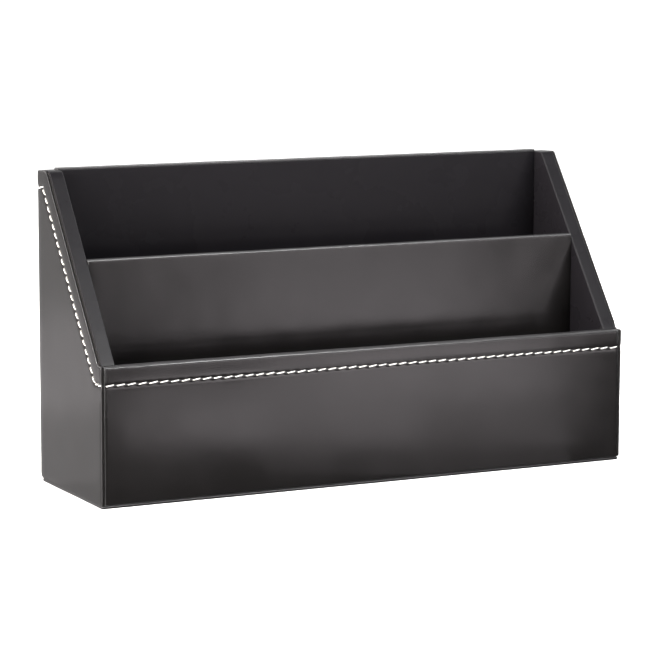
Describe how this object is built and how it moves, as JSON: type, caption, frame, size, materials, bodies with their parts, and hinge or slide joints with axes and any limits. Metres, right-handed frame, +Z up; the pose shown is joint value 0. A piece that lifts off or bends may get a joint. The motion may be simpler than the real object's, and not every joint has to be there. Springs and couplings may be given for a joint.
{
  "type": "envelope sorter",
  "caption": "Desk letter rack with two stepped pockets, sloping sides and boards covered in stitched leather.",
  "frame": {"origin": "middle of the footprint, on the plane that the rack stands on", "axes": "+X along the width to the right as seen from the front, +Y to the back, +Z up"},
  "size_m": [0.281, 0.078, 0.151],
  "materials": {
    "board": "dyed fibreboard, hidden under the leather",
    "outer_leather": "satin, fine grain",
    "lining_leather": "satin, fine grain",
    "base_sheet": "matt, cut edge",
    "thread": "white sewing thread"
  },
  "bodies": {
    "root": {"left_side_board": "board", "right_side_board": "board", "front_board": "board", "back_board": "board", "divider_board": "board", "base_board": "board", "left_outer_leather": "outer_leather", "right_outer_leather": "outer_leather", "front_outer_leather": "outer_leather", "back_outer_leather": "outer_leather", "divider_leather": "outer_leather", "left_inner_lining": "lining_leather", "right_inner_lining": "lining_leather", "front_inner_lining": "lining_leather", "back_inner_lining": "lining_leather", "front_pocket_floor": "lining_leather", "rear_pocket_floor": "lining_leather", "base_sheet": "base_sheet", "front_stitching": "thread", "back_stitching": "thread", "left_stitching": "thread", "right_stitching": "thread"}
  },
  "joints": []
}
